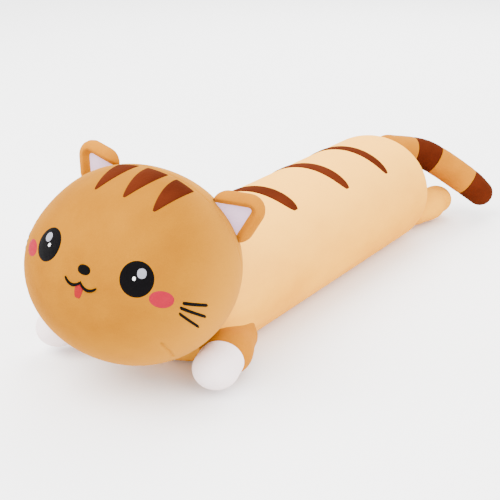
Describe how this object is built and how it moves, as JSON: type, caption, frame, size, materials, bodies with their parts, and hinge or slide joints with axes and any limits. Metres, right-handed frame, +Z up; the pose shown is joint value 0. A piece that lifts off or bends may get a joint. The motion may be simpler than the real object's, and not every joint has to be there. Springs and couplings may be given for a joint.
{
  "type": "plush cat",
  "caption": "Long stuffed toy cat lying on its belly, with a round head, folded ears, short limbs and a curled tail, all of which bend.",
  "frame": {"origin": "on the floor, at the flat of the belly under the shoulders", "axes": "+Y from the face to the tail along the body, +Z up, +X towards the cat's left side"},
  "size_m": [0.2835, 0.8921, 0.2596],
  "materials": {
    "tan_plush": "short smooth plush",
    "peach_plush": "short smooth plush",
    "orange_plush": "short smooth plush",
    "brown_plush": "short smooth plush",
    "white_plush": "short smooth plush",
    "ear_plush": "short smooth plush",
    "pink_plush": "satin stitch embroidery",
    "tongue_felt": "satin stitch embroidery",
    "black_thread": "satin stitch embroidery",
    "grey_thread": "satin stitch embroidery",
    "white_thread": "satin stitch embroidery",
    "polyester_fill": "loose fibre fill"
  },
  "bodies": {
    "torso_front": {"body_cover_front": "peach_plush", "body_stuffing_front": "polyester_fill", "back_stripe_front": "brown_plush"},
    "torso_rear": {"body_cover_rear": "peach_plush", "body_stuffing_rear": "polyester_fill", "back_stripe_middle": "brown_plush", "back_stripe_rear": "brown_plush"},
    "neck": {"neck_panel": "peach_plush"},
    "head": {"head_face_panel": "tan_plush", "head_back_panel": "tan_plush", "head_stuffing": "polyester_fill", "nose": "black_thread", "mouth_line": "black_thread", "tongue": "tongue_felt", "head_stripe_left": "brown_plush", "head_stripe_middle": "brown_plush", "head_stripe_right": "brown_plush", "eye_left": "black_thread", "eye_glint_large_left": "grey_thread", "eye_glint_small_left": "white_thread", "cheek_left": "pink_plush", "whisker_left_1": "black_thread", "whisker_left_2": "black_thread", "whisker_left_3": "black_thread", "eye_right": "black_thread", "eye_glint_large_right": "grey_thread", "eye_glint_small_right": "white_thread", "cheek_right": "pink_plush", "whisker_right_1": "black_thread", "whisker_right_2": "black_thread", "whisker_right_3": "black_thread"},
    "ear_left": {"ear_cover_left": "orange_plush", "ear_stuffing_left": "polyester_fill", "ear_inner_panel_left": "ear_plush"},
    "ear_right": {"ear_cover_right": "orange_plush", "ear_stuffing_right": "polyester_fill", "ear_inner_panel_right": "ear_plush"},
    "arm_left": {"arm_sleeve_left": "orange_plush", "paw_left": "white_plush", "arm_stuffing_left": "polyester_fill"},
    "arm_right": {"arm_sleeve_right": "orange_plush", "paw_right": "white_plush", "arm_stuffing_right": "polyester_fill"},
    "leg_left": {"leg_sleeve_left": "peach_plush", "foot_left": "peach_plush", "leg_stuffing_left": "polyester_fill"},
    "leg_right": {"leg_sleeve_right": "peach_plush", "foot_right": "peach_plush", "leg_stuffing_right": "polyester_fill"},
    "tail_base": {"tail_cover_base": "orange_plush", "tail_stuffing_base": "polyester_fill"},
    "tail_dark_band": {"tail_cover_dark_band": "brown_plush", "tail_stuffing_dark_band": "polyester_fill"},
    "tail_middle": {"tail_cover_middle": "orange_plush", "tail_stuffing_middle": "polyester_fill"},
    "tail_tip": {"tail_cover_tip": "brown_plush", "tail_stuffing_tip": "polyester_fill"}
  },
  "joints": [
    {"name": "body_bend", "type": "hinge", "parent": "torso_front", "child": "torso_rear", "pos_m": [0, 0.2, 0.0725], "axis": [0, 0, 1], "range_deg": [-25, 25], "stiffness_Nm_per_rad": 3},
    {"name": "head_turn", "type": "hinge", "parent": "torso_front", "child": "neck", "pos_m": [-0.002, -0.151, 0.138], "axis": [0, 0, 1], "range_deg": [-8, 8], "stiffness_Nm_per_rad": 2},
    {"name": "head_nod", "type": "hinge", "parent": "neck", "child": "head", "pos_m": [-0.002, -0.151, 0.138], "axis": [1, 0, 0], "range_deg": [-6, 6], "stiffness_Nm_per_rad": 2},
    {"name": "ear_left_fold", "type": "hinge", "parent": "head", "child": "ear_left", "pos_m": [0.08393, -0.09137, 0.1893], "axis": [0.4228, 0.1584, -0.8923], "range_deg": [-15, 15], "stiffness_Nm_per_rad": 0.08},
    {"name": "ear_right_fold", "type": "hinge", "parent": "head", "child": "ear_right", "pos_m": [-0.07283, -0.11386, 0.22271], "axis": [0.7698, 0.0127, 0.6381], "range_deg": [-15, 15], "stiffness_Nm_per_rad": 0.08},
    {"name": "arm_left_swing", "type": "hinge", "parent": "torso_front", "child": "arm_left", "pos_m": [0.073, -0.061, 0.0325], "axis": [0, 0, 1], "range_deg": [-2, 20], "stiffness_Nm_per_rad": 0.4},
    {"name": "arm_right_swing", "type": "hinge", "parent": "torso_front", "child": "arm_right", "pos_m": [-0.084, -0.078, 0.0325], "axis": [0, 0, 1], "range_deg": [-20, 2], "stiffness_Nm_per_rad": 0.4},
    {"name": "leg_left_swing", "type": "hinge", "parent": "torso_rear", "child": "leg_left", "pos_m": [0.046, 0.49, 0.0275], "axis": [0, 0, 1], "range_deg": [-4, 6], "stiffness_Nm_per_rad": 0.4},
    {"name": "leg_right_swing", "type": "hinge", "parent": "torso_rear", "child": "leg_right", "pos_m": [-0.046, 0.49, 0.0275], "axis": [0, 0, 1], "range_deg": [-6, 4], "stiffness_Nm_per_rad": 0.4},
    {"name": "tail_lift", "type": "hinge", "parent": "torso_rear", "child": "tail_base", "pos_m": [0.002, 0.478, 0.1245], "axis": [1, 0, 0], "range_deg": [0, 30], "stiffness_Nm_per_rad": 0.4},
    {"name": "tail_dark_band_curl", "type": "hinge", "parent": "tail_base", "child": "tail_dark_band", "pos_m": [0.02702, 0.541, 0.1085], "axis": [0, 0, 1], "range_deg": [-4, 18], "stiffness_Nm_per_rad": 0.25},
    {"name": "tail_middle_curl", "type": "hinge", "parent": "tail_dark_band", "child": "tail_middle", "pos_m": [0.05296, 0.563, 0.0915], "axis": [0, 0, 1], "range_deg": [-4, 18], "stiffness_Nm_per_rad": 0.25},
    {"name": "tail_tip_curl", "type": "hinge", "parent": "tail_middle", "child": "tail_tip", "pos_m": [0.095, 0.587, 0.0585], "axis": [0, 0, 1], "range_deg": [-4, 18], "stiffness_Nm_per_rad": 0.25}
  ]
}
